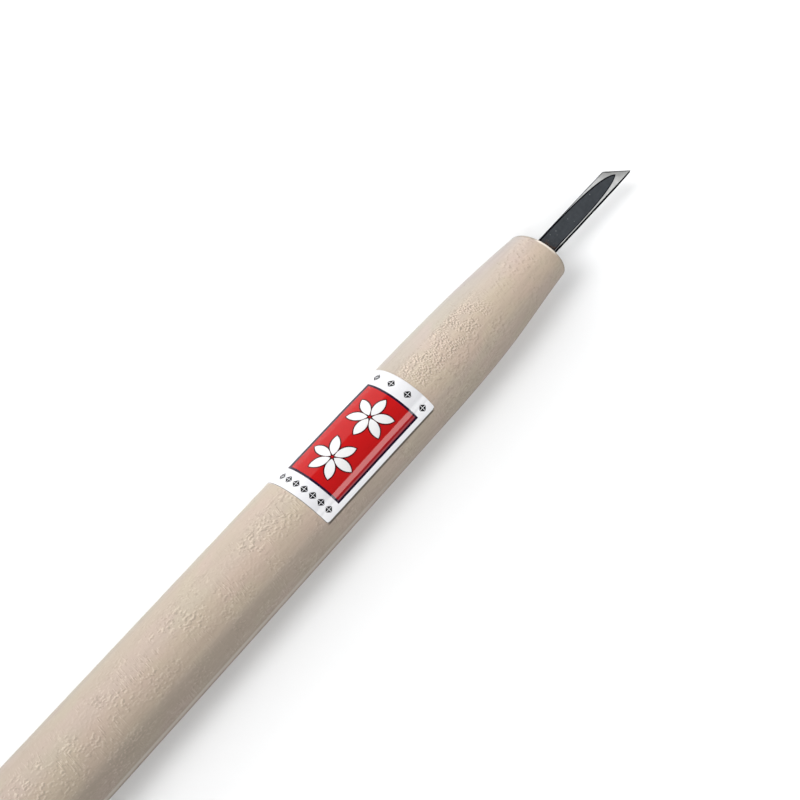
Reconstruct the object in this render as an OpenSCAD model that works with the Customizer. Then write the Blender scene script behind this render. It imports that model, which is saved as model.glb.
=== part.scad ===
// Chip carving knife: a skew blade of soft iron faced with hard steel, glued
// between the two halves of a round wooden handle that carries a label.
// +X runs from the butt to the point, +Z is up, and the flat of the blade
// faces +Z. The origin is the centre of the flat butt face.

/* [Handle] */
// Length of the handle along its axis
handle_l = 170; // [150:1:190]
// Diameter of the straight part of the grip
handle_d = 18; // [17:0.5:20]
// Diameter of the handle where the blade comes out
front_d = 13.2; // [12:0.2:15]
// Length over which the handle narrows towards the blade
taper_l = 49; // [45:1:60]
// Slant of the front face, in degrees off square
front_slant = 8; // [0:1:10]
// Width of the chamfer around the front face
front_chamfer = 0.6; // [0.3:0.1:1]
// Radius of the rounded edge around the butt
butt_round = 2; // [1:0.5:4]

/* [Blade] */
// Length of the blade from the handle to the point
blade_l = 31; // [25:0.1:35]
// Width across the blade
blade_w = 4.5; // [3.6:0.1:6]
// Thickness of the iron and the steel together
blade_t = 1.6; // [1.4:0.1:2.4]
// Thickness of the hard steel layer
steel_t = 0.5; // [0.4:0.1:0.8]
// Angle between the cutting edge and the long sides of the blade
skew = 42; // [38:1:50]
// Angle between the bevel and the flat of the blade
bevel = 24; // [20:1:30]
// Depth of the shallow hollow in the flat of the blade
hollow_depth = 0.12; // [0.05:0.01:0.2]
// Width of the ground land beside the hollow
land_w = 0.46; // [0.2:0.02:0.5]
// How far the blade leaves the handle to the +Y side of the handle's axis
blade_y = 0.26; // [0:0.02:0.4]
// Slight turn of the blade in its handle, in degrees, with the point towards -Y
blade_lean = 0.5; // [0:0.1:1]
// Length of the blade that is glued inside the handle
tang_l = 42; // [40:1:70]
// How far the steel layer reaches into the handle
steel_inset = 10; // [5:1:20]

/* [Label] */
// Length of the label along the handle
label_l = 31.2; // [28:0.1:32]
// Distance from the butt to the middle of the label
label_x = 110.9; // [90:0.1:118]
// First edge of the label, in degrees from the top towards +Y
label_from = -38; // [-50:1:-20]
// Second edge of the label, in degrees from the top towards +Y
label_to = 74; // [60:1:85]
// Thickness of the label
label_t = 0.12; // [0.08:0.01:0.2]

/* [Hidden] */
$fn = 64;

handle_r = handle_d / 2;
front_r = front_d / 2;

// The narrowing front is one circular arc that is tangent to the straight grip.
taper_x = handle_l - taper_l;
taper_drop = handle_r - front_r;
taper_arc_r = (pow(taper_l, 2) + pow(taper_drop, 2)) / (2 * taper_drop);
function grip_r(x) = x <= taper_x ? handle_r
    : handle_r - taper_arc_r + sqrt(pow(taper_arc_r, 2) - pow(x - taper_x, 2));

// The turned blank runs past the slanted front face before it is cut.
blank_l = handle_l + front_r * tan(front_slant) + 1;
taper_steps = 24;
butt_steps = 6;

tip_x = handle_l + blade_l;
heel_x = tip_x - blade_w / tan(skew);
tang_x = handle_l - tang_l;
tang_point_l = 8;
steel_x = handle_l - steel_inset;

// The groove is this much wider and deeper than the tang, for the glue.
glue_gap = 0.05;

// The hollow starts inside the handle and ends in a rounded tongue.
hollow_nose = [tip_x - 3.47, -0.05 * blade_w];
hollow_top = blade_w / 2 + 0.5;
hollow_steps = 10;

function bezier(a, b, c, t) =
    pow(1 - t, 2) * a + 2 * t * (1 - t) * b + pow(t, 2) * c;

module turned(profile) {
    rotate([0, 90, 0])
        rotate_extrude()
            polygon(profile);
}

module handle_blank() {
    butt = [for (i = [0:butt_steps])
        let (a = 90 * i / butt_steps)
        [handle_r - butt_round + butt_round * sin(a), butt_round * (1 - cos(a))]];
    front = [for (i = [0:taper_steps])
        let (x = taper_x + i * (blank_l - taper_x) / taper_steps)
        [grip_r(x), x]];
    turned(concat([[0, 0]], butt, front, [[0, blank_l]]));
}

// Everything behind the slanted front face, with its edge taken off at 45 degrees.
module front_trim() {
    reach = 60;
    face_r = front_r - front_chamfer;
    translate([handle_l, 0, 0])
        rotate([0, 0, front_slant])
            turned([[0, 0], [face_r, 0], [reach, face_r - reach],
                    [reach, -2 * handle_l], [0, -2 * handle_l]]);
}

module handle_body() {
    intersection() {
        handle_blank();
        front_trim();
    }
}

module upper_space() {
    translate([-1, -handle_d, 0])
        cube([tip_x + 2, 2 * handle_d, handle_d]);
}

// Sets the blade, or its groove, into the handle: a little off its axis and turned.
module in_handle() {
    translate([handle_l, blade_y, 0])
        rotate([0, 0, -blade_lean])
            translate([-handle_l, 0, 0])
                children();
}

module tang_groove() {
    translate([tang_x - glue_gap, -blade_w / 2 - glue_gap, -blade_t - glue_gap])
        cube([tang_l + handle_r, blade_w + 2 * glue_gap, blade_t + glue_gap + 1]);
}

module handle_upper_half() {
    color("tan")
        intersection() {
            handle_body();
            upper_space();
        }
}

module handle_lower_half() {
    color("tan")
        difference() {
            handle_body();
            upper_space();
            in_handle() tang_groove();
        }
}

module blade_outline() {
    side = blade_w / 2;
    polygon([[tang_x, -side / 2], [tang_x + tang_point_l, -side], [tip_x, -side],
             [heel_x, side], [tang_x + tang_point_l, side], [tang_x, side / 2]]);
}

// A slice of the blade between two heights, over its whole length.
module blade_slice(low, high) {
    translate([0, 0, low])
        linear_extrude(high - low)
            blade_outline();
}

// The space under the bevel, whose top face rises to the cutting edge.
module bevel_space() {
    translate([tip_x, -blade_w / 2, 0])
        rotate([0, 0, 180 - skew])
            rotate([-bevel, 0, 0])
                translate([-20, -20, -20])
                    cube([40, 60, 20]);
}

module steel_space() {
    translate([steel_x, -blade_w, -steel_t])
        cube([tip_x, 2 * blade_w, steel_t + 1]);
}

module hollow_outline() {
    side = blade_w / 2;
    land = [hollow_nose[0] - 13.5, -side + land_w];
    leave = [hollow_nose[0] - 17.3, side];
    lower = [for (i = [0:hollow_steps])
        bezier(land, [hollow_nose[0] - 2.2, land[1] + 0.1], hollow_nose, i / hollow_steps)];
    upper = [for (i = [1:hollow_steps])
        bezier(hollow_nose, [hollow_nose[0] - 2, side - 0.25], leave, i / hollow_steps)];
    polygon(concat([[steel_x + 1, -side + land_w]], lower, upper,
                   [[leave[0], hollow_top], [steel_x + 1, hollow_top]]));
}

module blade_iron_body() {
    color("dimgray")
        in_handle()
            difference() {
                blade_slice(-blade_t, 0);
                steel_space();
                bevel_space();
            }
}

module blade_steel_face() {
    color("silver")
        in_handle()
            difference() {
                intersection() {
                    blade_slice(-steel_t, 0);
                    steel_space();
                }
                bevel_space();
                translate([0, 0, -hollow_depth])
                    linear_extrude(1)
                        hollow_outline();
            }
}

// A thin sheet that lies on the handle and follows its narrowing front.
module label() {
    start_x = label_x - label_l / 2;
    steps = 12;
    xs = [for (i = [0:steps]) start_x + i * label_l / steps];
    inner = [for (x = xs) [grip_r(x), x]];
    outer = [for (i = [steps:-1:0]) [grip_r(xs[i]) + label_t, xs[i]]];
    color("crimson")
        rotate([0, 90, 0])
            rotate([0, 0, 180 - label_to])
                rotate_extrude(angle = label_to - label_from)
                    polygon(concat(inner, outer));
}

handle_upper_half();
handle_lower_half();
blade_iron_body();
blade_steel_face();
label();
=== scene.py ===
"""Looks of the chip carving knife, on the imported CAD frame.

A bare wooden handle in two halves, a laminated blade with a hollow-ground flat, and a glossy printed label.
"""

import math

import bmesh
import bpy
from mathutils import Matrix, Vector
from mathutils.geometry import delaunay_2d_cdt


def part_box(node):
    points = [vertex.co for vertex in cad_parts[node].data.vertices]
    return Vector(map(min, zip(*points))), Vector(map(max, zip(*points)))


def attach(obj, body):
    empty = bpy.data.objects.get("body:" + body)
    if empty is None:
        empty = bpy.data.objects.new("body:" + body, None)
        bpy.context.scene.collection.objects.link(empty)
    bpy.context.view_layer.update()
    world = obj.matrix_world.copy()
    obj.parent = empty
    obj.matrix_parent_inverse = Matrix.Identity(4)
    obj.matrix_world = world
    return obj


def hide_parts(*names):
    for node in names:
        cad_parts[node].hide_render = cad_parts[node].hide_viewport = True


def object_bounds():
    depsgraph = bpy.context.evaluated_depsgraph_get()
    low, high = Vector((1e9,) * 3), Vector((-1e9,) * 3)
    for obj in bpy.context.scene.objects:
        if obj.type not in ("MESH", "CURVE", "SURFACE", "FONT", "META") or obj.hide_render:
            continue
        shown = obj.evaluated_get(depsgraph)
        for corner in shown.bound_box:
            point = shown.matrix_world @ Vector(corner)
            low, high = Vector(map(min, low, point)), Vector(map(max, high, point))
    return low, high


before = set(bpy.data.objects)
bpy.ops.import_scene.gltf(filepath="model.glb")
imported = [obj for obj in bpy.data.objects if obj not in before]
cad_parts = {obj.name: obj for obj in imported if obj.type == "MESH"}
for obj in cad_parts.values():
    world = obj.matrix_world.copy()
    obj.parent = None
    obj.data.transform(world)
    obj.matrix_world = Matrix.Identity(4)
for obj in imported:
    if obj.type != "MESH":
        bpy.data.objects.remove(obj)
cad_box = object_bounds()

MM = 0.001

# ---------------------------------------------------------------- sizes, in metres
# From the frame: the grip's radius, the thickness of the blade's layers, and the label.
GRIP_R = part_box("handle_upper_half")[1].z
STEEL_T = -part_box("blade_steel_face")[0].z
IRON_LOW_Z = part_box("blade_iron_body")[0].z
LABEL_LOW, LABEL_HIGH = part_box("label")
LABEL_T = LABEL_HIGH.z - GRIP_R

HANDLE_L = 170 * MM
TAPER_L = 49 * MM
FRONT_R = 6.6 * MM
FRONT_SLANT = math.radians(8)
FRONT_ROUND = 0.35 * MM
BUTT_ROUND = 2 * MM
SEAM_CHAMFER = 0.05 * MM

# The blade is laid out along +X and then set into the handle a little off its axis and turned.
TIP_X = HANDLE_L + 31 * MM
BLADE_HALF_W = 2.25 * MM
TANG_L = 42 * MM
STEEL_INSET = 10 * MM
BLADE_Y = 0.26 * MM
BLADE_LEAN = math.radians(-0.5)
SKEW = math.radians(42)
BEVEL = math.radians(24)
HOLLOW_DEPTH = 0.12 * MM

# The front narrows along one arc.
TAPER_X = HANDLE_L - TAPER_L
TAPER_DROP = GRIP_R - FRONT_R
TAPER_ARC_R = (TAPER_L**2 + TAPER_DROP**2) / (2 * TAPER_DROP)

# The handle was rounded by hand, so in places it is a little fuller or thinner, or lies a little to one side.
# Each entry is the middle and half length of the place along the handle, and the amount, in millimetres.
SWELLS = [(150, 20, 0.14), (165, 16, -0.05)]
BOWS = [(135, 22, -0.14), (150, 20, -0.09), (165, 16, 0.13)]


def bumps(x, places):
    """Sum of smooth bumps at x."""
    total = 0.0
    for middle, half_length, amount in places:
        u = min(abs(x / MM - middle) / half_length, 1.0)
        total += amount * MM * 0.5 * (1 + math.cos(math.pi * u))
    return total


def grip_radius(x):
    """Radius of the handle at x: a straight grip, then one arc that narrows it."""
    straight = GRIP_R - abs(bumps(x, BOWS))
    if x <= TAPER_X:
        return straight
    arc_part = GRIP_R - TAPER_ARC_R + math.sqrt(TAPER_ARC_R**2 - (x - TAPER_X) ** 2)
    return min(arc_part + bumps(x, SWELLS), straight)


def around(x, radius, angle):
    """A point on a circle around the handle's middle; the angle starts at +Z and runs towards +Y."""
    return Vector((x, bumps(x, BOWS) + radius * math.sin(angle), radius * math.cos(angle)))


def in_handle(point):
    """Sets a point of the blade into the handle."""
    start = Vector((HANDLE_L, 0, 0))
    return Matrix.Rotation(BLADE_LEAN, 3, "Z") @ (Vector(point) - start) + start + Vector((0, BLADE_Y, 0))


def smooth_step(t):
    """0 up to t = 0, 1 from t = 1, and a smooth curve between."""
    t = min(max(t, 0.0), 1.0)
    return t * t * (3 - 2 * t)


def in_scene(name, data):
    """A new object in the scene, made of a mesh, a light or a camera."""
    made = bpy.data.objects.new(name, data)
    bpy.context.scene.collection.objects.link(made)
    return made


def mesh_from(builder, name):
    """Turns a bmesh into an object, and frees it."""
    mesh = bpy.data.meshes.new(name)
    builder.to_mesh(mesh)
    builder.free()
    return in_scene(name, mesh)


def close_sides(builder, top, bottom, wall_material=0):
    """Joins a top and a bottom skin with walls along their open edges, and drops the points left over."""
    mates = dict(zip(top, bottom))
    for edge in [e for e in builder.edges if len(e.link_faces) == 1]:
        a, b = edge.verts
        if a in mates and b in mates:
            corners = list(dict.fromkeys([a, b, mates[b], mates[a]]))
            if len(corners) > 2:
                wall = builder.faces.new(corners)
                wall.material_index = wall_material
    loose = [v for v in builder.verts if not v.link_faces]
    bmesh.ops.delete(builder, geom=loose, context="VERTS")
    bmesh.ops.recalc_face_normals(builder, faces=builder.faces)


# ---------------------------------------------------------------- node helpers
class Nodes:
    """A material's node tree, with short calls for the nodes that the materials here share."""

    def __init__(self, name):
        self.material = bpy.data.materials.new(name)
        self.material.use_nodes = True
        self.tree = self.material.node_tree
        self.shader = self.tree.nodes["Principled BSDF"]

    def add(self, kind, **settings):
        """A new node of a kind."""
        node = self.tree.nodes.new(kind)
        for key, value in settings.items():
            setattr(node, key, value)
        return node

    def feed(self, socket, value):
        """Gives an input a value, or links it when the value is another node's output."""
        if isinstance(value, bpy.types.NodeSocket):
            self.tree.links.new(value, socket)
        else:
            socket.default_value = value

    def place(self, scale=(1, 1, 1), offset=(0, 0, 0)):
        """Object coordinates in millimetres, stretched by scale."""
        coordinates = self.add("ShaderNodeTexCoord")
        mapping = self.add("ShaderNodeMapping")
        self.feed(mapping.inputs["Vector"], coordinates.outputs["Object"])
        mapping.inputs["Scale"].default_value = [s / MM for s in scale]
        mapping.inputs["Location"].default_value = offset
        return mapping.outputs["Vector"]

    def noise(self, where, scale, detail=2.0, rough=0.5, distortion=0.0):
        """Smooth noise; scale is how many bumps there are to a millimetre."""
        node = self.add("ShaderNodeTexNoise")
        self.feed(node.inputs["Vector"], where)
        node.inputs["Scale"].default_value = scale
        node.inputs["Detail"].default_value = detail
        node.inputs["Roughness"].default_value = rough
        node.inputs["Distortion"].default_value = distortion
        return node.outputs["Fac"]

    def voronoi(self, where, scale):
        """Distance to the nearest of points scattered at random."""
        node = self.add("ShaderNodeTexVoronoi")
        self.feed(node.inputs["Vector"], where)
        node.inputs["Scale"].default_value = scale
        return node.outputs["Distance"]

    def ramp(self, value, low, high, to_low=0.0, to_high=1.0):
        """Maps value from low..high to to_low..to_high, smoothly and clamped."""
        node = self.add("ShaderNodeMapRange", interpolation_type="SMOOTHSTEP")
        self.feed(node.inputs["Value"], value)
        node.inputs["From Min"].default_value = low
        node.inputs["From Max"].default_value = high
        node.inputs["To Min"].default_value = to_low
        node.inputs["To Max"].default_value = to_high
        return node.outputs["Result"]

    def math(self, operation, a, b=0.0, c=0.0):
        """One sum on sockets or numbers."""
        node = self.add("ShaderNodeMath", operation=operation)
        for socket, value in zip(node.inputs, (a, b, c)):
            self.feed(socket, value)
        return node.outputs["Value"]

    def product(self, first, *others):
        """The product of values, each a socket or a number."""
        for value in others:
            first = self.math("MULTIPLY", first, value)
        return first

    def mix(self, factor, a, b, blend="MIX"):
        """Colour a with b mixed in by factor."""
        node = self.add("ShaderNodeMix", data_type="RGBA", blend_type=blend)
        self.feed(node.inputs["Factor"], factor)
        for socket, value in ((node.inputs["A"], a), (node.inputs["B"], b)):
            self.feed(socket, (*value, 1) if isinstance(value, tuple) else value)
        return node.outputs["Result"]

    def axis(self, where, name):
        """One coordinate of a place."""
        node = self.add("ShaderNodeSeparateXYZ")
        self.feed(node.inputs["Vector"], where)
        return node.outputs[name]

    def bump(self, height, distance):
        """Raises the surface by height times distance, in metres."""
        node = self.add("ShaderNodeBump")
        self.feed(node.inputs["Height"], height)
        node.inputs["Distance"].default_value = distance
        node.inputs["Strength"].default_value = 1.0
        self.feed(self.shader.inputs["Normal"], node.outputs["Normal"])

    def set(self, **sockets):
        """Sets the shader's sockets; an underscore in a name stands for a space."""
        for name, value in sockets.items():
            if isinstance(value, tuple) and len(value) == 3:
                value = (*value, 1)
            self.feed(self.shader.inputs[name.replace("_", " ")], value)
        return self.material


# ---------------------------------------------------------------- materials
WOOD = (0.410, 0.345, 0.283)
WOOD_PINK = (0.418, 0.338, 0.289)
WOOD_GREEN = (0.400, 0.348, 0.276)
# The handle's front face, in the materials' millimetres.
FRONT = HANDLE_L / MM
# Between these two y, in mm, the label's ink turns to its lower edge's colour: the paper painted lighter and
# the red painted darker, where the label turns away from the light.
PAINTED_EDGE_BAND = (-3.35, -3.95)


def tone(color, factor):
    """A colour made lighter or darker."""
    return tuple(c * factor for c in color)


def raised_marks(n, scale, stretch, shift, low, high):
    """Small marks that stand out of the wood, each a light spot with a dark one beside it: painted light on
    the lit side and painted shade on the side away from the light.
    """
    spots = []
    for dx, dy in ((0.0, 0.0), (0.10, -0.32)):
        offset = (shift - dx * stretch[0], -dy * stretch[1], 0)
        spots.append(n.ramp(n.noise(n.place(scale=stretch, offset=offset), scale, 1.0, 0.5), low, high))
    return n.math("SUBTRACT", *spots)


class WoodPlace:
    """Where a point of the wood lies, in mm, and how far it is on the round side or on a sawn end."""

    def __init__(self, n):
        here = n.place()
        self.x, self.y, self.z = (n.axis(here, name) for name in "XYZ")
        self.height_z = n.math("ABSOLUTE", self.z)
        self.from_front = n.math("MULTIPLY_ADD", self.y, math.tan(FRONT_SLANT), self.x)
        self.side = n.product(n.ramp(self.x, 0.1, 1.4), n.ramp(self.from_front, FRONT - 0.05, FRONT - 0.45))
        self.sawn = n.math("SUBTRACT", 1.0, self.side)


def growth_rings(n, pith, shift):
    """Rings around the pith, bent by slow noise: faint streaks along the handle, and arcs on its ends."""
    place = n.place(scale=(0.02, 1, 1), offset=(shift, -pith[0], -pith[1]))
    wobble = n.math("MULTIPLY", n.noise(place, 0.12, 3.0), 9.0)
    y, z = n.axis(place, "Y"), n.axis(place, "Z")
    reach = n.math("ADD", n.math("MULTIPLY", y, y), n.math("MULTIPLY", z, z))
    reach = n.math("ADD", n.math("POWER", reach, 0.5), wobble)
    return n.ramp(n.math("SINE", n.math("MULTIPLY", reach, 2.6)), -1.0, 1.0)


def drifts_and_streaks(n, color, at, shift):
    """Slow drifts between a pinker and a greener beige, long darker streaks, and finer threads."""
    pink = n.ramp(n.noise(n.place(scale=(0.6, 1, 1), offset=(shift, 0, 0)), 0.14, 2.0), 0.42, 0.62)
    color = n.mix(n.math("MULTIPLY", pink, 0.75), color, WOOD_PINK)
    green = n.ramp(n.noise(n.place(scale=(0.6, 1, 1), offset=(shift + 40, 0, 0)), 0.14, 2.0), 0.48, 0.62)
    color = n.mix(n.math("MULTIPLY", green, 0.75), color, WOOD_GREEN)
    streaks = n.ramp(n.noise(n.place(scale=(0.04, 1, 1), offset=(shift, 0, 0)), 0.9, 3.0, 0.6), 0.50, 0.72)
    color = n.mix(n.math("MULTIPLY", streaks, 0.30), color, tone(WOOD, 0.80))
    thread_place = n.place(scale=(0.16, 1, 1), offset=(shift, 0, 0))
    threads = n.ramp(n.noise(thread_place, 1.9, 2.0, 0.6, 0.4), 0.44, 0.64)
    threads = n.product(threads, n.ramp(at.y, 3.0, -4.0, 0.15, 0.5))
    return n.mix(threads, color, tone(WOOD, 0.86))


def painted_shade_and_tints(n, color, at):
    """Painted shade and tints: a dark strip low on the near side for its core shade, a grip painted darker
    towards the butt where less light falls, a near side painted darker, and sides that differ in tint.
    """
    # Painted shade: a dark strip low on the near side, where the grip turns away from the light.
    wear_and_shade = n.product(n.ramp(at.y, -7.9, -6.2), n.ramp(at.y, -4.0, -5.6), n.ramp(at.x, 120.0, 70.0), 0.55)
    color = n.mix(wear_and_shade, color, tone(WOOD, 0.76))
    # Painted light: darker towards the butt and lighter towards the front.
    color = n.mix(1.0, color, n.math("MULTIPLY_ADD", at.x, 0.0020, 0.813), blend="MULTIPLY")
    # Painted shade: the near side a little darker.
    color = n.mix(at.side, color, n.ramp(at.y, -3.5, -6.0, 1.0, 0.94), blend="MULTIPLY")
    # The middle is warmer. Towards the front the far side is greyer, and near the front it is also pinker and
    # darker: painted shade that tones down the narrowing front, which faces the light more.
    tints = (
        (n.ramp(at.y, 3.0, 0.0), n.ramp(at.y, -5.5, -3.5), (1.03, 1.0, 0.965)),
        (n.ramp(at.x, 118.0, 130.0), n.ramp(at.y, 3.0, 6.0), (0.925, 0.97, 1.015)),
        (n.ramp(at.x, 134.0, 156.0), n.ramp(at.y, 0.5, 3.0), (0.955, 0.94, 0.985)),
    )
    for one, other, tint in tints:
        color = n.mix(n.product(one, other, at.side), color, tint, blend="MULTIPLY")
    return color


def ray_flecks(n, at, shift):
    """Small raised marks in patches, and how far a point lies in the patch of torn grain."""
    specks = raised_marks(n, 2.5, (0.62, 0.86, 0.86), shift, 0.51, 0.63)
    ripples = raised_marks(n, 1.7, (1.9, 0.5, 0.5), shift + 9, 0.51, 0.64)
    rippled = n.ramp(n.noise(n.place(offset=(shift + 31, 0, 0)), 0.22, 1.0), 0.53, 0.60)
    flecks = n.mix(rippled, specks, ripples)
    # Towards the front end the marks are larger and softer.
    soft_marks = n.product(raised_marks(n, 1.3, (1.2, 0.8, 0.8), shift + 17, 0.48, 0.68), 0.8)
    flecks = n.mix(n.ramp(at.x, 149.0, 158.0), flecks, soft_marks)
    # Between the patches, and towards both sides, the wood is smoother.
    patches = n.ramp(n.noise(n.place(offset=(shift + 7, 0, 0)), 0.20, 3.0, 0.6), 0.42, 0.58, 0.25, 1.0)
    cut = n.product(n.ramp(at.y, 7.0, 2.6, 0.2, 1.08), n.ramp(at.y, -7.0, 3.0, 0.45, 1.0))
    flecks = n.product(flecks, patches, cut)

    # Where the front begins to narrow the grain is torn, with finer and stronger marks.
    torn = n.product(n.ramp(at.x, 124.0, 131.0), n.ramp(at.x, 153.0, 146.0))
    torn = n.product(torn, n.ramp(at.y, -2.6, -0.4), n.ramp(at.y, 5.4, 3.4))
    torn = n.product(torn, n.ramp(n.noise(n.place(offset=(shift + 3, 0, 0)), 0.35, 2.0), 0.36, 0.50))
    fine_marks = n.product(raised_marks(n, 3.6, (0.9, 0.8, 0.8), shift + 23, 0.47, 0.58), 1.95)
    return n.product(n.mix(torn, flecks, fine_marks), at.side), torn


def paint_flecks(n, color, flecks, torn):
    """Painted light and shade: the lit side of each raised mark lighter and its shaded side darker."""
    light = n.math("MAXIMUM", flecks, 0.0)
    dark = n.math("MAXIMUM", n.math("MULTIPLY", flecks, -1.0), 0.0)
    light = n.product(light, n.math("MULTIPLY_ADD", torn, 0.30, 0.55))
    dark = n.product(dark, n.math("MULTIPLY_ADD", torn, -0.18, 0.60))
    color = n.mix(light, color, tone(WOOD, 1.35))
    return n.mix(dark, color, tone(WOOD, 0.55))


def seam_and_painted_outline_light(n, color, at):
    """Painted shade and light along the outlines: a greyer far side above the seam for shade along the far
    outline, the dark seam between the halves widened into a band that is partly painted shade along both
    outlines, and a paler line over it on the near side, painted light along the near outline.
    """
    # Painted shade: the far side greyer just above the seam.
    far_outline_shade = n.product(n.ramp(at.height_z, 6.0, 1.5), n.ramp(at.y, 0.0, 2.0), at.side)
    color = n.mix(far_outline_shade, color, (0.925, 0.985, 1.045), blend="MULTIPLY")
    # The dark seam between the halves; its wide band is partly painted shade along both outlines.
    seam = n.product(n.ramp(at.height_z, 1.5, 0.2), at.side)
    color = n.mix(seam, color, (0.82, 0.85, 0.86), blend="MULTIPLY")
    # Painted light: a paler line over the seam on the near side.
    near_outline_light = n.product(n.ramp(at.z, 1.6, 2.1), n.ramp(at.z, 3.3, 2.7))
    near_outline_light = n.product(near_outline_light, n.ramp(at.x, 125.0, 95.0), n.ramp(at.y, 0.0, -1.0), at.side, 0.8)
    color = n.mix(near_outline_light, color, (0.480, 0.430, 0.380))
    glue_line = n.product(n.ramp(at.height_z, 0.22, 0.08), 0.6)
    return n.mix(glue_line, color, tone(WOOD, 0.55))


def painted_shadow_under_label(n, color, at):
    """A painted shadow: a thin dark line on the wood along the label's lower edge."""
    below = n.math("ADD", n.math("MULTIPLY_ADD", at.x, 0.0055, -0.61), at.y)
    # Painted shadow of the label's lower edge.
    label_edge_shadow = n.product(n.ramp(below, -5.92, -5.80), n.ramp(below, -5.44, -5.54))
    label_edge_shadow = n.product(label_edge_shadow, n.ramp(at.x, 95.5, 96.3), n.ramp(at.x, 126.8, 126.0), n.ramp(at.z, 0.0, 1.0), 0.95)
    return n.mix(label_edge_shadow, color, tone(WOOD, 0.22))


def front_rim(n, color, at):
    """The eased edge around the front face: a painted highlight of pale wood above the blade, where the
    rounding catches light, and painted shade further round.
    """
    rim = n.ramp(at.from_front, FRONT - 0.75, FRONT - 0.40)
    rim = n.product(rim, n.ramp(at.from_front, FRONT - 0.01, FRONT - 0.06))
    # Painted highlight above the blade; painted shade on the rest of the rim.
    rim_highlight = n.product(n.ramp(at.y, -3.8, -1.5), n.ramp(at.y, 2.8, 1.4))
    rim_shade = n.math("SUBTRACT", 1.0, rim_highlight)
    color = n.mix(n.product(rim, rim_shade), color, (0.82, 0.84, 0.85), blend="MULTIPLY")
    return n.mix(n.product(rim, rim_highlight, 0.85), color, (0.80, 0.745, 0.67))


def wood_material(name, pith, shift):
    """Pale close-grained hardwood. pith is the tree's centre, (y, z) in mm, and shift moves the pattern."""
    n = Nodes(name)
    at = WoodPlace(n)
    rings = growth_rings(n, pith, shift)
    color = n.mix(rings, WOOD, tone(WOOD, 0.955))
    color = drifts_and_streaks(n, color, at, shift)
    color = painted_shade_and_tints(n, color, at)
    flecks, torn = ray_flecks(n, at, shift)
    color = paint_flecks(n, color, flecks, torn)
    color = seam_and_painted_outline_light(n, color, at)
    # The sawn ends are darker end grain, where the growth rings show best.
    end_grain = n.mix(rings, (0.90, 0.88, 0.85), (0.74, 0.71, 0.67))
    color = n.mix(at.sawn, color, end_grain, blend="MULTIPLY")
    color = painted_shadow_under_label(n, color, at)
    color = front_rim(n, color, at)

    # A few open pores.
    pores = n.ramp(n.voronoi(n.place(scale=(0.35, 1, 1), offset=(shift, 0, 0)), 1.3), 0.15, 0.05)
    pores = n.product(pores, n.ramp(n.noise(n.place(offset=(shift, 0, 0)), 0.5, 1.0), 0.54, 0.64))
    color = n.mix(n.product(pores, 0.5), color, tone(WOOD, 0.5))

    fine = n.noise(n.place(scale=(0.3, 1, 1)), 9.0, 2.0, 0.6)
    height = n.math("ADD", n.math("MULTIPLY", fine, 0.2), flecks)
    height = n.math("SUBTRACT", height, n.math("MULTIPLY", pores, 2.0))
    n.bump(height, 0.012 * MM)
    return n.set(Base_Color=color, Roughness=0.66, Specular_IOR_Level=0.22)


def print_material(name, color, painted_edge_color=None):
    """Glossy printed film: an even ink with faint mottling under a clear coat.

    The last argument is the colour that the ink turns to at the label's lower edge: painted light on the
    paper, painted shade on the red.
    """
    n = Nodes(name)
    here = n.place()
    mottle = n.ramp(n.noise(here, 3.0, 4.0, 0.7), 0.35, 0.65)
    ink = n.mix(mottle, color, tone(color, 0.97))
    # Painted light and shade towards the label's lower edge.
    if painted_edge_color:
        y = n.axis(here, "Y")
        start, end = PAINTED_EDGE_BAND
        ink = n.mix(n.ramp(y, start, end), ink, painted_edge_color)
    waves = n.noise(n.place(scale=(0.5, 1, 1)), 0.5, 2.0)
    n.bump(waves, 0.002 * MM)
    return n.set(
        Base_Color=ink,
        Roughness=0.5,
        Specular_IOR_Level=0.0,
        Coat_Weight=1.0,
        Coat_Roughness=0.04,
    )


def ground_steel_material(name, brightness=1.0):
    """Steel ground bright on a stone, with fine scratches along the blade."""
    n = Nodes(name)
    scratches = n.noise(n.place(scale=(0.12, 1, 1)), 14.0, 3.0, 0.7)
    cloud = n.ramp(n.noise(n.place(), 0.6, 2.0), 0.3, 0.7)
    color = n.mix(cloud, (0.60, 0.60, 0.595), (0.70, 0.70, 0.695))
    color = n.mix(n.ramp(scratches, 0.5, 0.62), color, (0.52, 0.52, 0.52))
    # Painted shade and highlight: darker towards the cutting edge and lighter towards the hollow, for the
    # land's reflection.
    here = n.place()
    behind = n.math("MULTIPLY_ADD", n.axis(here, "X"), -math.sin(SKEW), TIP_X / MM * math.sin(SKEW))
    behind = n.math("MULTIPLY_ADD", n.axis(here, "Y"), -math.cos(SKEW), behind)
    behind = n.math("SUBTRACT", behind, BLADE_HALF_W / MM * math.cos(SKEW))
    shade = n.ramp(behind, 0.0, 3.0, 0.72 * brightness, 1.2 * brightness)
    color = n.mix(1.0, color, shade, blend="MULTIPLY")
    # Close to the handle, where no stone reaches, it is dull.
    dull = n.ramp(n.axis(here, "X"), FRONT + 6.4, FRONT + 4.8)
    color = n.mix(dull, color, (0.30, 0.30, 0.30), blend="MULTIPLY")
    n.bump(scratches, 0.004 * MM)
    return n.set(
        Base_Color=color,
        Metallic=1.0,
        Roughness=n.ramp(scratches, 0.3, 0.7, 0.28, 0.42),
    )


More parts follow.
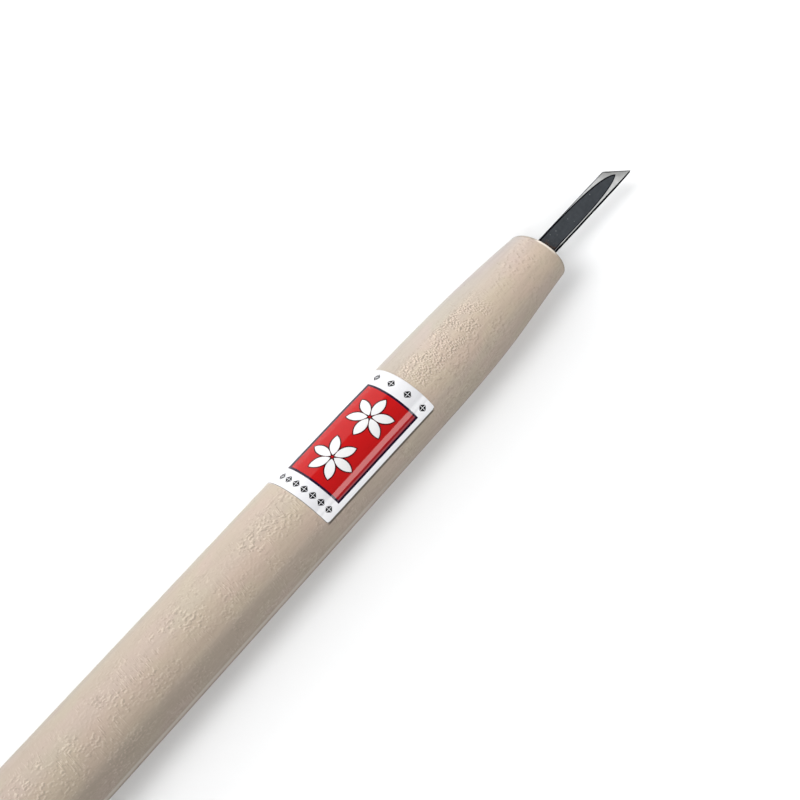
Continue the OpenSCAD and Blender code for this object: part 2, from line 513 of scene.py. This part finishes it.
def black_scale_and_shade_material(name):
    """Dead black scale on the blade's sides and around its hollow, partly painted shade along the sides, the
    eased edges and the hollow's rim.
    """
    n = Nodes(name)
    cloud = n.noise(n.place(), 4.0, 3.0, 0.6)
    color = n.mix(n.ramp(cloud, 0.35, 0.65), (0.005, 0.005, 0.007), (0.010, 0.010, 0.013))
    wear_and_shade = n.ramp(n.noise(n.place(), 1.7, 3.0, 0.7), 0.62, 0.72)
    color = n.mix(n.math("MULTIPLY", wear_and_shade, 0.4), color, (0.10, 0.10, 0.105))
    n.bump(cloud, 0.01 * MM)
    return n.set(Base_Color=color, Metallic=0.0, Roughness=0.8, Specular_IOR_Level=0.0)


def forge_scale_material(name):
    """Blue-grey forge scale with small pits and bright specks, and rust and old glue near the handle."""
    n = Nodes(name)
    place = n.place()
    cloud = n.ramp(n.noise(place, 0.9, 4.0, 0.6), 0.3, 0.7)
    color = n.mix(cloud, (0.030, 0.035, 0.041), (0.044, 0.050, 0.058))
    pits = n.ramp(n.noise(place, 5.0, 3.0, 0.65), 0.42, 0.30)
    color = n.mix(n.math("MULTIPLY", pits, 0.5), color, (0.02, 0.022, 0.026))
    near_handle = n.ramp(n.axis(place, "X"), FRONT + 6.0, FRONT + 2.5)
    specks = n.ramp(n.voronoi(place, 1.1), 0.14, 0.06)
    allowed = n.math("ADD", n.ramp(n.noise(place, 1.3, 1.0), 0.52, 0.6), near_handle)
    specks = n.math("MULTIPLY", specks, n.math("MINIMUM", allowed, 1.0))
    color = n.mix(n.math("MULTIPLY", specks, 0.7), color, (0.34, 0.34, 0.35))
    rust = n.product(n.ramp(n.voronoi(place, 1.9), 0.32, 0.14), near_handle)
    rust = n.product(rust, n.ramp(n.noise(place, 1.9, 1.0), 0.42, 0.54))
    color = n.mix(n.math("MULTIPLY", rust, 0.8), color, (0.22, 0.10, 0.035))
    # Old glue has stained it near the handle, and right against the handle it is nearly black.
    from_front = n.math("MULTIPLY_ADD", n.axis(place, "Y"), math.tan(FRONT_SLANT), n.axis(place, "X"))
    stain = n.ramp(from_front, FRONT + 4.4, FRONT + 3.8)
    stain = n.product(stain, n.ramp(n.noise(place, 0.9, 2.0), 0.42, 0.58), 0.8)
    color = n.mix(stain, color, (0.080, 0.038, 0.022))
    color = n.mix(n.ramp(from_front, FRONT + 3.8, FRONT + 3.55), color, (0.010, 0.007, 0.007))
    grit = n.product(n.ramp(n.voronoi(place, 1.7), 0.20, 0.10), near_handle)
    grit = n.product(grit, n.ramp(n.noise(n.place(offset=(5, 0, 0)), 1.1, 1.0), 0.46, 0.56), 0.7)
    color = n.mix(grit, color, (0.36, 0.31, 0.29))
    n.bump(n.math("SUBTRACT", n.noise(place, 2.2, 4.0, 0.6), pits), 0.02 * MM)
    return n.set(
        Base_Color=color,
        Metallic=0.35,
        Roughness=n.ramp(cloud, 0.0, 1.0, 0.38, 0.5),
        Specular_IOR_Level=0.4,
    )


# ---------------------------------------------------------------- handle
RING_STEP = 1.5 * MM
HALF_COLUMNS = 64
ROUND_STEPS = 8
FACE_STEPS = 6
SLANT_REACH = 14 * MM


def handle_stations():
    """(x, inset, share of the radius) of each ring, from the butt's centre to the front face's centre."""
    stations = []
    for i in range(FACE_STEPS):
        stations.append((0.0, BUTT_ROUND, i / FACE_STEPS))
    for i in range(ROUND_STEPS + 1):
        a = math.radians(90) * i / ROUND_STEPS
        stations.append((BUTT_ROUND * (1 - math.cos(a)), BUTT_ROUND * (1 - math.sin(a)), 1.0))
    first, last = BUTT_ROUND, HANDLE_L - FRONT_ROUND
    steps = round((last - first) / RING_STEP)
    for i in range(1, steps + 1):
        stations.append((first + (last - first) * i / steps, 0.0, 1.0))
    for i in range(1, ROUND_STEPS + 1):
        a = math.radians(90) * i / ROUND_STEPS
        stations.append((last + FRONT_ROUND * math.sin(a), FRONT_ROUND * (1 - math.cos(a)), 1.0))
    for i in range(FACE_STEPS - 1, -1, -1):
        stations.append((HANDLE_L, FRONT_ROUND, i / FACE_STEPS))
    return stations


def handle_point(station, angle):
    """A point of the handle's skin. The front leans by the slant, and the seam's edges are eased."""
    x, inset, share = station
    edge = math.cos(angle) * GRIP_R
    eased = SEAM_CHAMFER * max(0.0, 1 - edge / (2 * SEAM_CHAMFER))
    lean = smooth_step((x - HANDLE_L + SLANT_REACH) / SLANT_REACH) * math.tan(FRONT_SLANT)
    slanted_x = x
    for _ in range(3):
        radius = (grip_radius(slanted_x) - inset - eased) * share
        slanted_x = x - lean * radius * math.sin(angle)
    return around(slanted_x, radius, angle)


def handle_half(name, side):
    """One half-round stave as a closed mesh. side is +1 for the upper half and -1 for the lower."""
    builder = bmesh.new()
    # Two columns close to each seam edge carry the eased corner.
    near_seam = math.asin(2 * SEAM_CHAMFER / GRIP_R)
    columns = [-math.pi / 2]
    inner = HALF_COLUMNS - 2
    for i in range(inner + 1):
        columns.append(-math.pi / 2 + near_seam + (math.pi - 2 * near_seam) * i / inner)
    columns.append(math.pi / 2)
    rows = []
    for station in handle_stations():
        if station[2] == 0.0:
            rows.append([builder.verts.new(handle_point(station, 0.0))])
            continue
        row = []
        for column in columns:
            point = handle_point(station, column)
            point.z = max(point.z, 0.0) if abs(column) < math.pi / 2 else 0.0
            row.append(builder.verts.new((point.x, point.y, side * point.z)))
        rows.append(row)
    for row, following in zip(rows, rows[1:]):
        for i in range(len(columns) - 1):
            corners = [row[min(i, len(row) - 1)], row[min(i + 1, len(row) - 1)]]
            corners += [following[min(i + 1, len(following) - 1)], following[min(i, len(following) - 1)]]
            corners = list(dict.fromkeys(corners))
            builder.faces.new(corners)
    rim = [row[0] for row in rows] + [row[-1] for row in reversed(rows) if len(row) > 1]
    seam = builder.faces.new(rim)
    bmesh.ops.triangulate(builder, faces=[seam])
    bmesh.ops.recalc_face_normals(builder, faces=builder.faces)
    return mesh_from(builder, name)


def cut_groove(piece):
    """Cuts the tang's groove into the lower half, a little larger than the tang."""
    gap = 0.05 * MM
    low = Vector((HANDLE_L - TANG_L - gap, -BLADE_HALF_W - gap, IRON_LOW_Z - gap))
    high = Vector((HANDLE_L + 10 * MM, BLADE_HALF_W + gap, 1 * MM))
    builder = bmesh.new()
    bmesh.ops.create_cube(builder, size=1.0)
    for vertex in builder.verts:
        vertex.co = in_handle([low[i] if vertex.co[i] < 0 else high[i] for i in range(3)])
    cutter = mesh_from(builder, "groove_cutter")
    cut = piece.modifiers.new("groove", "BOOLEAN")
    cut.operation = "DIFFERENCE"
    cut.solver = "EXACT"
    cut.object = cutter
    apply_modifiers(piece)
    bpy.data.objects.remove(cutter)


def apply_modifiers(piece):
    """Makes a piece's modifiers part of its mesh."""
    graph = bpy.context.evaluated_depsgraph_get()
    done = bpy.data.meshes.new_from_object(piece.evaluated_get(graph))
    piece.modifiers.clear()
    piece.data = done


def shade_smooth_by_angle(piece, degrees):
    """Smooth shading that keeps the edges sharper than an angle."""
    piece.data.shade_smooth()
    piece.data.set_sharp_from_angle(angle=math.radians(degrees))


def build_handle():
    """The handle's two staves, each with its own run of the wood's pattern."""
    upper = handle_half("handle_upper_wood", 1)
    lower = handle_half("handle_lower_wood", -1)
    cut_groove(lower)
    upper.data.materials.append(wood_material("upper_stave_wood", (-22, -31), 0.0))
    lower.data.materials.append(wood_material("lower_stave_wood", (17, 34), 57.0))
    for piece, node in ((upper, "handle_upper_half"), (lower, "handle_lower_half")):
        shade_smooth_by_angle(piece, 50)
        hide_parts(node)
        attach(piece, "root")


# ---------------------------------------------------------------- flat regions
def inside(point, outline):
    """Whether a 2-D point lies in a closed outline."""
    x, y = point
    hit = False
    for (x0, y0), (x1, y1) in zip(outline, outline[1:] + outline[:1]):
        if (y0 > y) != (y1 > y) and x < (x1 - x0) * (y - y0) / (y1 - y0) + x0:
            hit = not hit
    return hit


def distance_to(point, outline):
    """Distance from a 2-D point to a closed outline."""
    p = Vector(point)
    best = math.inf
    for a, b in zip(outline, outline[1:] + outline[:1]):
        a, b = Vector(a), Vector(b)
        along = b - a
        t = min(max((p - a).dot(along) / max(along.length_squared, 1e-12), 0), 1)
        best = min(best, (p - a - along * t).length)
    return best


def triangulate(outer, regions, grid, clear):
    """Triangles that fill outer, with the edges of every region kept and grid points between them."""
    points, edges = [], []
    for outline in [outer, *regions]:
        start = len(points)
        points += [Vector(p) for p in outline]
        edges += [(start + i, start + (i + 1) % len(outline)) for i in range(len(outline))]
    outlines = [outer, *regions]
    for p in grid:
        if inside(p, outer) and all(distance_to(p, outline) > clear for outline in outlines):
            points.append(Vector(p))
    found = delaunay_2d_cdt(points, edges, [], 0, 1e-5)
    vertices, triangles = found[0], found[2]
    kept = []
    for triangle in triangles:
        centre = sum((vertices[i] for i in triangle), Vector((0, 0))) / 3
        if inside(centre, outer):
            kept.append((triangle, centre))
    return vertices, kept


def arc(centre, radius, start, end, steps):
    """Points on a circle from start to end, in degrees."""
    return [
        (
            centre[0] + radius * math.cos(math.radians(start + (end - start) * i / steps)),
            centre[1] + radius * math.sin(math.radians(start + (end - start) * i / steps)),
        )
        for i in range(steps + 1)
    ]


def rectangle(low, high, step):
    """A rectangle's outline with points along its sides about step apart."""
    corners = [low, (high[0], low[1]), high, (low[0], high[1])]
    outline = []
    for (x0, y0), (x1, y1) in zip(corners, corners[1:] + corners[:1]):
        count = max(1, round(math.hypot(x1 - x0, y1 - y0) / step))
        outline += [(x0 + (x1 - x0) * i / count, y0 + (y1 - y0) * i / count) for i in range(count)]
    return outline


def petal(centre, direction, near, far, half_width, grow=0.0):
    """A pointed petal between two distances from centre, with arcs for its sides, grown all round by grow."""
    near, far, half_width = near - grow, far + grow, half_width + grow
    half = (far - near) / 2
    radius = (half**2 + half_width**2) / (2 * half_width)
    sweep = math.degrees(math.asin(half / radius))
    drop = radius - half_width
    side = arc((half, -drop), radius, 90 + sweep, 90 - sweep, PETAL_STEPS)
    shape = side[:-1] + [(x, -y) for x, y in reversed(side)][:-1]
    c, s = math.cos(math.radians(direction)), math.sin(math.radians(direction))
    return [(centre[0] + (near + x) * c - y * s, centre[1] + (near + x) * s + y * c) for x, y in shape]


# ---------------------------------------------------------------- label
# The label's print is laid out in millimetres: u along the handle, v around it, from the panel's centre.
PRINT_X = 111 * MM
PANEL_ANGLE = math.radians(12.85)
LABEL_FROM = math.radians(-38.0)
LABEL_TO = math.radians(73.6)
PANEL_HALF = (11.53, 6.80)
BORDER = 0.47
TOP_BORDER = 0.74
EDGE_W = 0.13
CORNER_R = 0.7
END_SKEW = math.tan(math.radians(3.2))
SIDE_SKEW = math.tan(math.radians(-0.4))
LABEL_R = (GRIP_R + LABEL_T) / MM
LABEL_STEP = 0.5
LABEL_CLEAR = 0.12
CUT_EDGE_REACH = 0.2
PETAL_STEPS = 10
# Middle and turn of each rosette.
ROSETTES = [((5.35, 0.3), 0), ((-5.35, 0.3), 30)]
ROSETTE_R = 4.7
# The rows of lozenges: u, how many, their pitch and size.
TICK_ROWS = [(13.55, 4, 4.05, 0.90), (-13.55, 7, 2.03, 0.84)]
FIRST_TICK_V = -6.1
# Each ink, and what it turns to at the label's lower edge: painted light on the paper, painted shade on the
# red.
PRINT_COLORS = {
    "label_paper": ((0.620, 0.620, 0.640), (0.820, 0.820, 0.840)),
    "label_border_ink": ((0.014, 0.003, 0.020), None),
    "label_red_ink": ((0.400, 0.0060, 0.0065), (0.250, 0.005, 0.012)),
    "label_white_ink": ((0.640, 0.640, 0.640), None),
    "label_outline_ink": ((0.045, 0.002, 0.005), None),
    "label_black_ink": ((0.012, 0.012, 0.014), None),
    "label_cut_edge_and_shade": ((0.150, 0.140, 0.125), None),
}
V_LOW = (LABEL_FROM - PANEL_ANGLE) * LABEL_R
V_HIGH = (LABEL_TO - PANEL_ANGLE) * LABEL_R
U_LOW = (LABEL_LOW.x - PRINT_X) / MM
U_HIGH = (LABEL_HIGH.x - PRINT_X) / MM


def label_outline():
    """The label's outline with rounded corners, and points about half a millimetre apart."""
    corners = [(U_HIGH, V_LOW, -90), (U_HIGH, V_HIGH, 0), (U_LOW, V_HIGH, 90), (U_LOW, V_LOW, 180)]
    outline = []
    for u, v, start in corners:
        centre = (u - math.copysign(CORNER_R, u), v - math.copysign(CORNER_R, v))
        outline += arc(centre, CORNER_R, start, start + 90, 6)
    filled = []
    for (u0, v0), (u1, v1) in zip(outline, outline[1:] + outline[:1]):
        count = max(1, round(math.hypot(u1 - u0, v1 - v0) / LABEL_STEP))
        filled += [(u0 + (u1 - u0) * i / count, v0 + (v1 - v0) * i / count) for i in range(count)]
    return filled


def rosette(centre, turn, radius):
    """The petals of a six-petal rosette as carved with a compass, and the same petals grown into outlines."""
    white, dark = [], []
    for i in range(6):
        shape = (centre, turn + 60 * i, 0.09 * radius, radius, 0.2 * radius)
        white.append(petal(*shape))
        dark.append(petal(*shape, grow=0.27))
    return white, dark


def tick(centre, size):
    """A small lozenge cut into four chips."""
    gap = 0.055 * size
    shapes = []
    for turn in (0, 90, 180, 270):
        c, s = round(math.cos(math.radians(turn))), round(math.sin(math.radians(turn)))
        corner = [(gap, gap), (size, gap), (gap, size)]
        shapes.append([(centre[0] + x * c - y * s, centre[1] + x * s + y * c) for x, y in corner])
    return shapes


def label_place(u, v, lift):
    """The label's print laid on the handle, slightly out of square as it was stuck on."""
    x = PRINT_X + (u - END_SKEW * v) * MM
    angle = PANEL_ANGLE + (v + SIDE_SKEW * u) / LABEL_R
    return around(x, grip_radius(x) + lift, angle)


def print_outlines():
    """The print's outlines by name. panel is the border's outside, and red its inside."""
    inner_low = (BORDER - PANEL_HALF[0], BORDER - PANEL_HALF[1])
    inner_high = (PANEL_HALF[0] - BORDER, PANEL_HALF[1] - TOP_BORDER)
    white, dark, ticks = [], [], []
    for centre, turn in ROSETTES:
        new_white, new_dark = rosette(centre, turn, ROSETTE_R)
        white += new_white
        dark += new_dark
    for u, count, pitch, size in TICK_ROWS:
        for i in range(count):
            ticks += tick((u, FIRST_TICK_V + pitch * i), size)
    return {
        "clean": [shrink(label_outline(), EDGE_W)],
        "panel": [rectangle((-PANEL_HALF[0], -PANEL_HALF[1]), PANEL_HALF, LABEL_STEP)],
        "red": [rectangle(inner_low, inner_high, LABEL_STEP)],
        "dark": dark,
        "white": white,
        "ticks": ticks,
    }


def print_color(point, shapes):
    """Which of PRINT_COLORS a place on the label has."""

    def within(name):
        return any(inside(point, outline) for outline in shapes[name])

    if within("red"):
        if within("white"):
            return "label_white_ink"
        return "label_outline_ink" if within("dark") else "label_red_ink"
    if within("panel"):
        return "label_border_ink"
    # A grey strip along the label's left and lower edges: its cut edge, partly painted shade along it.
    at_low_edge = point[0] < U_LOW + CUT_EDGE_REACH or point[1] < V_LOW + CUT_EDGE_REACH
    if at_low_edge and not within("clean"):
        return "label_cut_edge_and_shade"
    return "label_black_ink" if within("ticks") else "label_paper"


def build_label():
    """The printed label: a thin closed sheet laid round the handle, with its print cut into the mesh."""
    shapes = print_outlines()
    grid = [
        (i * LABEL_STEP, j * LABEL_STEP)
        for i in range(math.floor(U_LOW / LABEL_STEP), math.ceil(U_HIGH / LABEL_STEP) + 1)
        for j in range(math.floor(V_LOW / LABEL_STEP), math.ceil(V_HIGH / LABEL_STEP) + 1)
    ]
    regions = [outline for outlines in shapes.values() for outline in outlines]
    vertices, triangles = triangulate(label_outline(), regions, grid, LABEL_CLEAR)

    builder = bmesh.new()
    top = [builder.verts.new(label_place(v.x, v.y, LABEL_T)) for v in vertices]
    bottom = [builder.verts.new(label_place(v.x, v.y, 0.0)) for v in vertices]
    slots = list(PRINT_COLORS)
    for triangle, centre in triangles:
        face = builder.faces.new([top[i] for i in triangle])
        face.material_index = slots.index(print_color(centre, shapes))
        builder.faces.new([bottom[i] for i in reversed(triangle)])
    close_sides(builder, top, bottom)

    label = mesh_from(builder, "label_print")
    for name, (color, painted_edge_color) in PRINT_COLORS.items():
        label.data.materials.append(print_material(name, color, painted_edge_color))
    set_round_normals(label.data)
    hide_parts("label")
    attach(label, "root")


def set_round_normals(mesh):
    """Gives faces that lie along the handle the true normal of the round surface, so that gloss is smooth."""
    mesh.shade_smooth()
    normals = []
    for face in mesh.polygons:
        for i in face.vertices:
            place = mesh.vertices[i].co
            radial = Vector((0, place.y - bumps(place.x, BOWS), place.z)).normalized()
            slope = (grip_radius(place.x + 0.5 * MM) - grip_radius(place.x - 0.5 * MM)) / MM
            radial = Vector((-slope, radial.y, radial.z)).normalized()
            facing = face.normal.dot(radial)
            if abs(facing) < 0.7:
                normals.append(face.normal.copy())
            else:
                normals.append(radial * math.copysign(1, facing))
    mesh.normals_split_custom_set(normals)


# ---------------------------------------------------------------- blade
# Sizes here are in millimetres, like the 2-D layout of the blade's flat.
LOW_EASE = 0.28
HIGH_EASE = 0.15
EASE_SLOPE = 0.6
LAND_W = 0.46
RIM_W = 0.26
RIM_SHIFT = 0.06
HONE_W = 0.20
HONE_DROP = 0.07
HOLLOW_WALL = 1.2
POINT_RISE = 0.2
STEEL_STEP = 0.3
STEEL_CLEAR = 0.08
THINNEST = 0.003
EDGE_SLOPE = math.tan(BEVEL)
SIDE = BLADE_HALF_W / MM
TIP = TIP_X / MM
STEEL_START = (HANDLE_L - STEEL_INSET) / MM
HEEL = TIP - 2 * SIDE / math.tan(SKEW)
NOSE = (TIP - 3.47, -0.1 * SIDE)
STEEL_SLOTS = ["ground", "scale", "black", "honed"]


def bezier(a, b, c, steps):
    """Points on a curve from a to c that leaves and arrives in the direction of b."""
    points = []
    for i in range(steps + 1):
        t = i / steps
        points.append(tuple((1 - t) ** 2 * p + 2 * t * (1 - t) * q + t * t * r for p, q, r in zip(a, b, c)))
    return points


def shrink(outline, amount):
    """A counter-clockwise outline moved inwards by amount."""
    moved = []
    count = len(outline)
    for i in range(count):
        before, here, after = (Vector(outline[(i + k) % count]) for k in (-1, 0, 1))
        one, two = (here - before).normalized(), (after - here).normalized()
        inward = Vector((-one.y - two.y, one.x + two.x)) / 2
        moved.append(tuple(here + inward * amount / max(inward.length_squared, 0.35)))
    return moved


def from_edge(point):
    """How far a 2-D point in millimetres lies behind the cutting edge, square to it."""
    dx = point[0] - TIP
    dy = point[1] + SIDE
    return -dx * math.sin(SKEW) - dy * math.cos(SKEW)


def steel_outline():
    """The steel layer from above: straight sides, the skewed edge, and a point eased by a short curve."""
    point = (TIP - POINT_RISE / math.tan(SKEW), POINT_RISE - SIDE)
    corners = [(STEEL_START, -SIDE), (TIP - 1.3, -SIDE), point, (HEEL, SIDE), (STEEL_START, SIDE)]
    outline = []
    for (x0, y0), (x1, y1) in zip(corners, corners[1:] + corners[:1]):
        if (x1, y1) == point:
            outline += bezier((x0, y0), (TIP - 0.6, -SIDE), point, 5)[:-1]
            continue
        count = max(1, round(math.hypot(x1 - x0, y1 - y0) / 0.4))
        outline += [(x0 + (x1 - x0) * i / count, y0 + (y1 - y0) * i / count) for i in range(count)]
    return outline


def hollow_outline():
    """The hollow: it starts inside the handle and ends in a pointed nose near the cutting edge."""
    land = (NOSE[0] - 13.5, -SIDE + LAND_W)
    leave = (NOSE[0] - 17.3, SIDE - HIGH_EASE)
    start = STEEL_START + 1
    hollow = [(start, -SIDE + LAND_W)]
    hollow += bezier(land, (NOSE[0] - 2.2, land[1] + 0.1), NOSE, 28)
    hollow += bezier(NOSE, (NOSE[0] - 2, SIDE - 0.25), leave, 28)[1:]
    return hollow + [(start, SIDE - HIGH_EASE)]


def steel_lines():
    """Lines for the eased long edges, the honed strip, and the crease where the bevel meets the underside."""
    crease = STEEL_T / MM / EDGE_SLOPE / math.sin(SKEW)
    hone = HONE_W / math.sin(SKEW)
    ease_end = TIP - (HONE_W + LOW_EASE * math.cos(SKEW)) / math.sin(SKEW)
    return [
        [(STEEL_START, -SIDE + LOW_EASE), (ease_end, -SIDE + LOW_EASE)],
        [(STEEL_START, SIDE - HIGH_EASE), (HEEL - hone, SIDE - HIGH_EASE)],
        [(TIP - hone - 0.5, -SIDE + 0.5 * math.tan(SKEW)), (HEEL - hone, SIDE)],
        [(TIP - crease, -SIDE), (HEEL - crease, SIDE)],
    ]


def steel_bottom(p):
    """Height of the layer's underside, which carries the iron's bevel on to just below the honed edge."""
    behind = from_edge(p)
    lowered = HONE_DROP * max(0.0, 1 - behind * EDGE_SLOPE * MM / STEEL_T)
    return max(-STEEL_T / MM, -behind * EDGE_SLOPE - lowered)


def steel_top(p, hollow):
    """Height of the layer's top: the scooped hollow, the flat land, the eased edges and the honed strip."""
    if inside(p, hollow):
        z = -HOLLOW_DEPTH / MM * (1 - (1 - min(distance_to(p, hollow) / HOLLOW_WALL, 1)) ** 2)
    elif p[1] < 0:
        z = -EASE_SLOPE * max(0.0, LOW_EASE - (SIDE + p[1]))
        z = max(z, 0.5 * steel_bottom(p))
    else:
        z = -EASE_SLOPE * max(0.0, HIGH_EASE - (SIDE - p[1]))
    return min(z, -HONE_DROP * max(0.0, 1 - from_edge(p) / HONE_W))


def steel_slot(p, hollow, hollow_floor):
    """Which of STEEL_SLOTS a place on the layer's top has."""
    honed = from_edge(p) < HONE_W
    on_low_ease = p.y < -SIDE + LOW_EASE
    on_high_ease = p.y > SIDE - HIGH_EASE and from_edge(p) > HONE_W
    if inside(p, hollow_floor):
        return "scale"
    # The hollow's rim and the eased edges are black: scale, partly painted shade along them.
    if inside(p, hollow) or on_low_ease or on_high_ease:
        return "black"
    return "honed" if honed else "ground"


def build_steel():
    """The hard steel layer: a flat land around a scooped hollow, with the bevel under its cutting edge."""
    hollow = hollow_outline()
    hollow_floor = [(x, y - RIM_SHIFT) for x, y in shrink(hollow, RIM_W)]
    grid = [
        (STEEL_START + i * STEEL_STEP, -SIDE + (j + 0.5) * STEEL_STEP)
        for i in range(round((TIP - STEEL_START) / STEEL_STEP))
        for j in range(round(2 * SIDE / STEEL_STEP))
    ]
    regions = [hollow, hollow_floor, *steel_lines()]
    vertices, triangles = triangulate(steel_outline(), regions, grid, STEEL_CLEAR)

    builder = bmesh.new()
    top, bottom = [], []
    for v in vertices:
        high_z, low_z = steel_top(v, hollow), steel_bottom(v)
        high = low = builder.verts.new(in_handle(Vector((v.x, v.y, high_z)) * MM))
        if low_z <= high_z - THINNEST:
            low = builder.verts.new(in_handle(Vector((v.x, v.y, low_z)) * MM))
        top.append(high)
        bottom.append(low)
    for triangle, centre in triangles:
        face = builder.faces.new([top[i] for i in triangle])
        face.material_index = STEEL_SLOTS.index(steel_slot(centre, hollow, hollow_floor))
        lower = [bottom[i] for i in reversed(triangle)]
        if not set(lower) <= set(top):
            underside = builder.faces.new(lower)
            underside.material_index = STEEL_SLOTS.index("ground")
    close_sides(builder, top, bottom, STEEL_SLOTS.index("black"))

    steel = mesh_from(builder, "blade_steel_layer")
    steel.data.materials.append(ground_steel_material("ground_steel"))
    steel.data.materials.append(forge_scale_material("steel_forge_scale"))
    steel.data.materials.append(black_scale_and_shade_material("steel_black_edges"))
    # The honed strip is a darker copy of the ground steel: a painted dark reflection.
    steel.data.materials.append(ground_steel_material("steel_honed_edge_painted_dark", 0.42))
    shade_smooth_by_angle(steel, 12)
    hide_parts("blade_steel_face")
    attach(steel, "root")


def finish_iron():
    """The iron body keeps its CAD shape, with eased edges. Its bevel is ground and the rest is black."""
    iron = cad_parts["blade_iron_body"]
    iron.data.materials.clear()
    iron.data.materials.append(forge_scale_material("iron_forge_scale"))
    iron.data.materials.append(ground_steel_material("ground_iron"))
    iron.data.materials.append(black_scale_and_shade_material("iron_black_sides"))
    scale, ground, black = range(3)
    for face in iron.data.polygons:
        upright = abs(face.normal.z) < 0.3
        on_bevel = -0.99 < face.normal.z < -0.5
        # The upright sides are black: scale, partly painted shade.
        face.material_index = black if upright else ground if on_bevel else scale
        face.use_smooth = False
    ease = iron.modifiers.new("eased_edges", "BEVEL")
    ease.width = HIGH_EASE * MM
    ease.segments = 2
    ease.limit_method = "ANGLE"
    ease.angle_limit = math.radians(35)


# ---------------------------------------------------------------- stage, camera and light
FLOOR_Z = cad_box[0][2]
FLOOR_HALF = 3.0
BACKDROP_R = 2.9
AIM = Vector((125.57, 1.08, 0.02)) * MM
VIEW = Vector((0.28926, 0.09595, -0.95243)).normalized()
DISTANCE = 222.2 * MM
KNIFE_TILT = math.radians(47.385)
LENS = 49.5
WORLD_STRENGTH = 0.1
# Soft lights: name, angle from straight above towards +Y, tilt towards +X, half the disc's width, strength.
SUNS = [
    ("side_wall", 80, 0, 40, 0.34),
    ("wall", 60, -35, 25, 0.368),
    ("low_wall", 75, -30, 25, 0.526),
    ("near_side", -30, -35, 20, 0.036),
    ("lamp", 20, -35, 8, 0.198),
    ("lamp_glow", 20, -35, 15, 0.464),
    ("near_lamp", -20, -35, 10, 0.23),
    ("blade_panel", -8, 44, 24, 0.16),
]
# Long thin lights that show as lines in the gloss: name, angle, tilt, distance, size, power.
STRIPS = [
    ("strip_light", -32.85, 13.5, 1.0, (0.48, 0.226), 1.45),
    ("second_strip", -46.8, 13.5, 1.0, (0.48, 0.058), 0.16),
]
STRIP_AIM = Vector((110, 0, 0)) * MM


def build_camera():
    """The camera looks down along the knife, which rises to the right in the frame."""
    axis = Vector((1, 0, 0))
    along = (axis - VIEW * axis.dot(VIEW)).normalized()
    right = Matrix.Rotation(KNIFE_TILT, 3, VIEW) @ along
    up = right.cross(VIEW)
    data = bpy.data.cameras.new("camera")
    data.lens = LENS
    data.sensor_width = 36
    data.clip_start = 0.01
    camera = in_scene("camera", data)
    turn = Matrix((right, up, -VIEW)).transposed().to_4x4()
    camera.matrix_world = Matrix.Translation(AIM - VIEW * DISTANCE) @ turn
    bpy.context.scene.camera = camera


def area_light(name, place, target, size, power):
    """A rectangular light that faces target, with its long side along the knife."""
    data = bpy.data.lights.new(name, "AREA")
    data.shape = "RECTANGLE"
    data.size, data.size_y = size
    data.energy = power
    light = in_scene(name, data)
    facing = (target - place).normalized()
    across = facing.cross(Vector((1, 0, 0))).normalized()
    long_side = across.cross(facing)
    turn = Matrix((long_side, across, -facing)).transposed().to_4x4()
    light.matrix_world = Matrix.Translation(place) @ turn


def sun(name, angle, tilt, half_width, strength):
    """A distant round light, with half_width in degrees as seen from the knife."""
    data = bpy.data.lights.new(name, "SUN")
    data.angle = math.radians(2 * half_width)
    data.energy = math.pi * strength
    light = in_scene(name, data)
    light.rotation_mode = "QUATERNION"
    light.rotation_quaternion = sky(angle, tilt).to_track_quat("Z", "Y")


def sky(angle, tilt):
    """The direction that lies at an angle from straight above towards +Y, leaned by tilt towards +X."""
    a, t = math.radians(angle), math.radians(tilt)
    return Vector((math.sin(t), math.cos(t) * math.sin(a), math.cos(t) * math.cos(a)))


def build_floor():
    """A plain pale floor that the knife lies on."""
    builder = bmesh.new()
    bmesh.ops.create_grid(builder, x_segments=1, y_segments=1, size=FLOOR_HALF)
    floor = mesh_from(builder, "floor")
    floor.location.z = FLOOR_Z
    n = Nodes("pale_floor")
    floor.data.materials.append(n.set(Base_Color=(0.86, 0.865, 0.87), Roughness=0.9, Specular_IOR_Level=0.1))


def build_backdrop():
    """A plain white ball around it all. The camera sees it, but it neither lights nor shades the knife."""
    builder = bmesh.new()
    bmesh.ops.create_uvsphere(builder, u_segments=48, v_segments=24, radius=BACKDROP_R)
    backdrop = mesh_from(builder, "backdrop")
    n = Nodes("white_backdrop")
    white = n.set(Base_Color=(0, 0, 0), Emission_Color=(1.0, 1.0, 1.0), Emission_Strength=1.0)
    backdrop.data.materials.append(white)
    backdrop.visible_diffuse = False
    backdrop.visible_glossy = False
    backdrop.visible_transmission = False
    backdrop.visible_shadow = False


def build_lights():
    """An even dim world, soft lights from the sides and above, and two strips that show in the gloss."""
    world = bpy.data.worlds.new("studio")
    bpy.context.scene.world = world
    world.use_nodes = True
    background = world.node_tree.nodes["Background"]
    background.inputs["Color"].default_value = (1.0, 1.0, 1.0, 1)
    background.inputs["Strength"].default_value = WORLD_STRENGTH
    for soft_light in SUNS:
        sun(*soft_light)
    for name, angle, tilt, distance, size, power in STRIPS:
        area_light(name, STRIP_AIM + sky(angle, tilt) * distance, STRIP_AIM, size, power)
    bpy.context.scene.view_settings.view_transform = "Standard"


build_camera()
build_floor()
build_backdrop()
build_lights()
build_handle()
build_label()
build_steel()
finish_iron()
